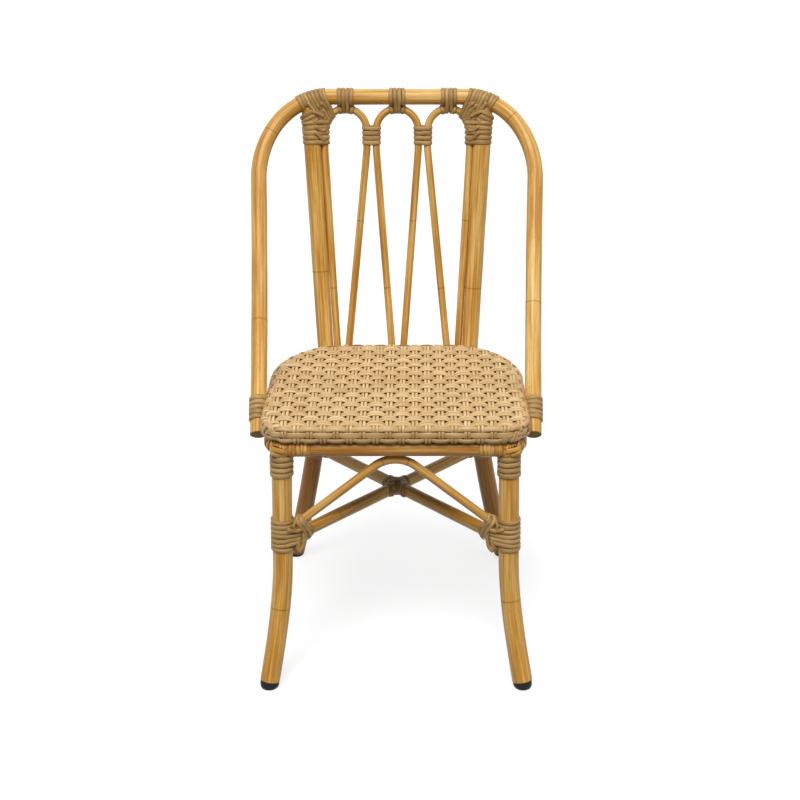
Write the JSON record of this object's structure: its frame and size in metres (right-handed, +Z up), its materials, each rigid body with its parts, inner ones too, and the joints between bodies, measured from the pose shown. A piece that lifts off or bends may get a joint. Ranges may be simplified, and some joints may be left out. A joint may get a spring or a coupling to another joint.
{
  "type": "rattan bistro chair",
  "caption": "Bent cane dining chair with a rounded hoop back, hairpin canes, a woven seat, crossed stretchers, an arch brace and wound cane lashings.",
  "frame": {"origin": "on the floor under the centre of the chair's bounding box", "axes": "+Z up, -Y the way the sitter faces, +X to the right of someone who looks at the chair's front"},
  "size_m": [0.501, 0.522, 0.9041],
  "materials": {
    "cane": "lacquered bent rattan poles, honey gold, satin gloss",
    "strand": "flat split cane strands with a domed face, greyish beige, satin",
    "weave": "plain weave of flat cane strands, straw coloured, matt",
    "foot": "black moulded plastic plugs",
    "screw": "zinc-plated steel, inside the joints"
  },
  "bodies": {
    "root": {"arch_end_lash_left": "strand", "arch_end_lash_right": "strand", "arm_screw_left": "screw", "arm_screw_right": "screw", "back_cane_centre": "cane", "back_cane_left": "cane", "back_cane_right": "cane", "corner_lash_inner_left": "strand", "corner_lash_inner_right": "strand", "corner_lash_outer_left": "strand", "corner_lash_outer_right": "strand", "crest_lash_centre": "strand", "crest_lash_left": "strand", "crest_lash_right": "strand", "crest_screw_left": "screw", "crest_screw_right": "screw", "cross_lash_front_left": "strand", "cross_lash_front_right": "strand", "cross_lash_rear_left": "strand", "cross_lash_rear_right": "strand", "cross_screw": "screw", "foot_front_left": "foot", "foot_front_right": "foot", "foot_rear_left": "foot", "foot_rear_right": "foot", "fork_lash_left": "strand", "fork_lash_right": "strand", "front_arch_brace": "cane", "front_leg_left": "cane", "front_leg_right": "cane", "hoop_end_lash_left": "strand", "hoop_end_lash_right": "strand", "hoop_frame": "cane", "leg_mid_lash_left": "strand", "leg_mid_lash_right": "strand", "leg_screw_left": "screw", "leg_screw_right": "screw", "leg_top_lash_left": "strand", "leg_top_lash_right": "strand", "leg_upper_lash_left": "strand", "leg_upper_lash_right": "strand", "post_lash_left": "strand", "post_lash_right": "strand", "post_screw_left": "screw", "post_screw_right": "screw", "rear_leg_lash_left": "strand", "rear_leg_lash_right": "strand", "rear_pole_left": "cane", "rear_pole_right": "cane", "ring_lash_left": "strand", "ring_lash_right": "strand", "seat_panel": "weave", "seat_ring": "cane", "stretcher_front_lash_left": "strand", "stretcher_front_lash_right": "strand", "stretcher_lower": "cane", "stretcher_rear_lash_left": "strand", "stretcher_rear_lash_right": "strand", "stretcher_upper": "cane"}
  },
  "joints": []
}
